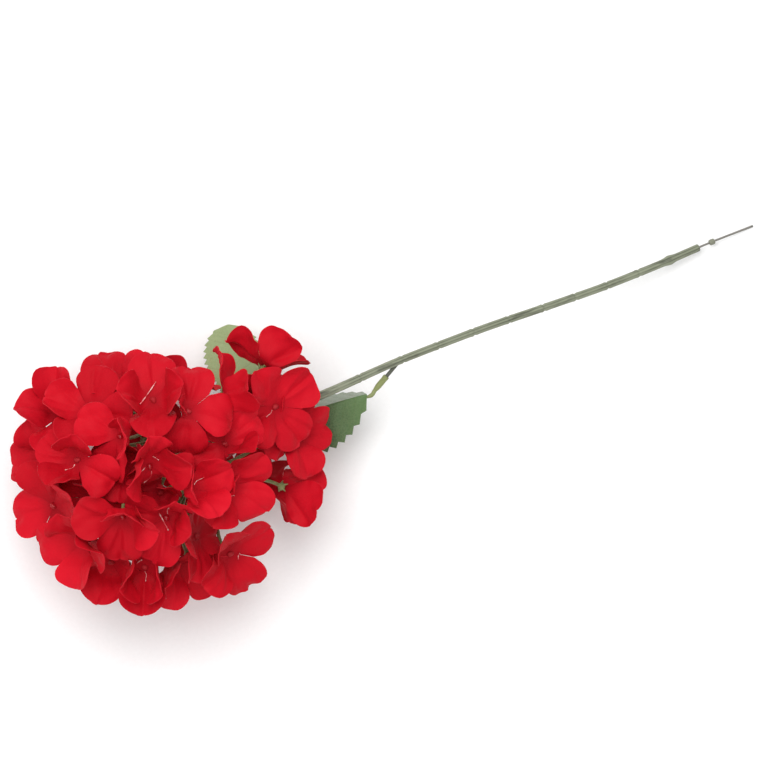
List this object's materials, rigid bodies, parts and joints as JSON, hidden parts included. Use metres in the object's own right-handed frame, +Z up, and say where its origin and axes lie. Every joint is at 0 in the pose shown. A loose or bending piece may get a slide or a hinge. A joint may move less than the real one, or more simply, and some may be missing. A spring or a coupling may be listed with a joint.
{
  "type": "artificial hydrangea flower stem",
  "caption": "Artificial hydrangea stem lying on its side: a round head of red fabric florets on moulded sprigs, a plastic-sheathed wire stem and toothed fabric leaves.",
  "frame": {"origin": "centre of the bounding box's bottom, on the surface that the flower lies on", "axes": "+X along the stem from the flower head to the cut end of the wire, +Z up from the surface"},
  "size_m": [0.4791, 0.1686, 0.1538],
  "materials": {
    "floret_fabric": "stiffened woven polyester, bright red",
    "stem_sheath_plastic": "grey-green, satin",
    "sprig_plastic": "yellow-green, satin",
    "wire_steel": "dark drawn wire",
    "dark_leaf_fabric": "printed woven fabric, deep green",
    "pale_leaf_fabric": "unprinted back of a fabric leaf, pale green"
  },
  "bodies": {
    "root": {"stem_wire": "wire_steel", "stem_sheath": "stem_sheath_plastic", "wire_bead": "sprig_plastic", "sprig_crown": "sprig_plastic", "sprig_tip": "sprig_plastic", "sprig_left_back": "sprig_plastic", "sprig_left_front": "sprig_plastic", "sprig_right_front": "sprig_plastic", "sprig_right_back": "sprig_plastic", "sprig_under_front": "sprig_plastic", "sprig_under_back": "sprig_plastic", "sprig_trailing": "sprig_plastic", "dark_leaf_blade": "dark_leaf_fabric", "dark_leaf_stalk": "sprig_plastic", "pale_leaf_blade": "pale_leaf_fabric", "pale_leaf_stalk": "sprig_plastic", "floret_trailing_back": "floret_fabric", "floret_back": "floret_fabric", "floret_front_right": "floret_fabric", "floret_front_upper": "floret_fabric", "floret_trailing_front": "floret_fabric", "floret_trailing_top": "floret_fabric", "floret_top": "floret_fabric", "floret_top_right": "floret_fabric", "floret_right_back": "floret_fabric", "floret_right_front": "floret_fabric", "floret_top_back": "floret_fabric", "floret_back_left": "floret_fabric", "floret_left_upper": "floret_fabric", "floret_top_left": "floret_fabric", "floret_top_front": "floret_fabric", "floret_left": "floret_fabric", "floret_left_low": "floret_fabric", "floret_back_corner": "floret_fabric", "floret_left_corner": "floret_fabric", "floret_back_low": "floret_fabric", "floret_front": "floret_fabric", "floret_front_left": "floret_fabric", "floret_front_low": "floret_fabric", "floret_right": "floret_fabric", "floret_right_low": "floret_fabric", "floret_back_right": "floret_fabric", "floret_deep_front": "floret_fabric", "floret_deep_back": "floret_fabric", "floret_deep_left": "floret_fabric", "floret_low_1": "floret_fabric", "floret_low_2": "floret_fabric", "floret_low_3": "floret_fabric", "floret_low_4": "floret_fabric", "floret_low_5": "floret_fabric", "floret_bottom_1": "floret_fabric", "floret_bottom_2": "floret_fabric", "floret_bottom_3": "floret_fabric", "floret_bottom_4": "floret_fabric"}
  },
  "joints": []
}
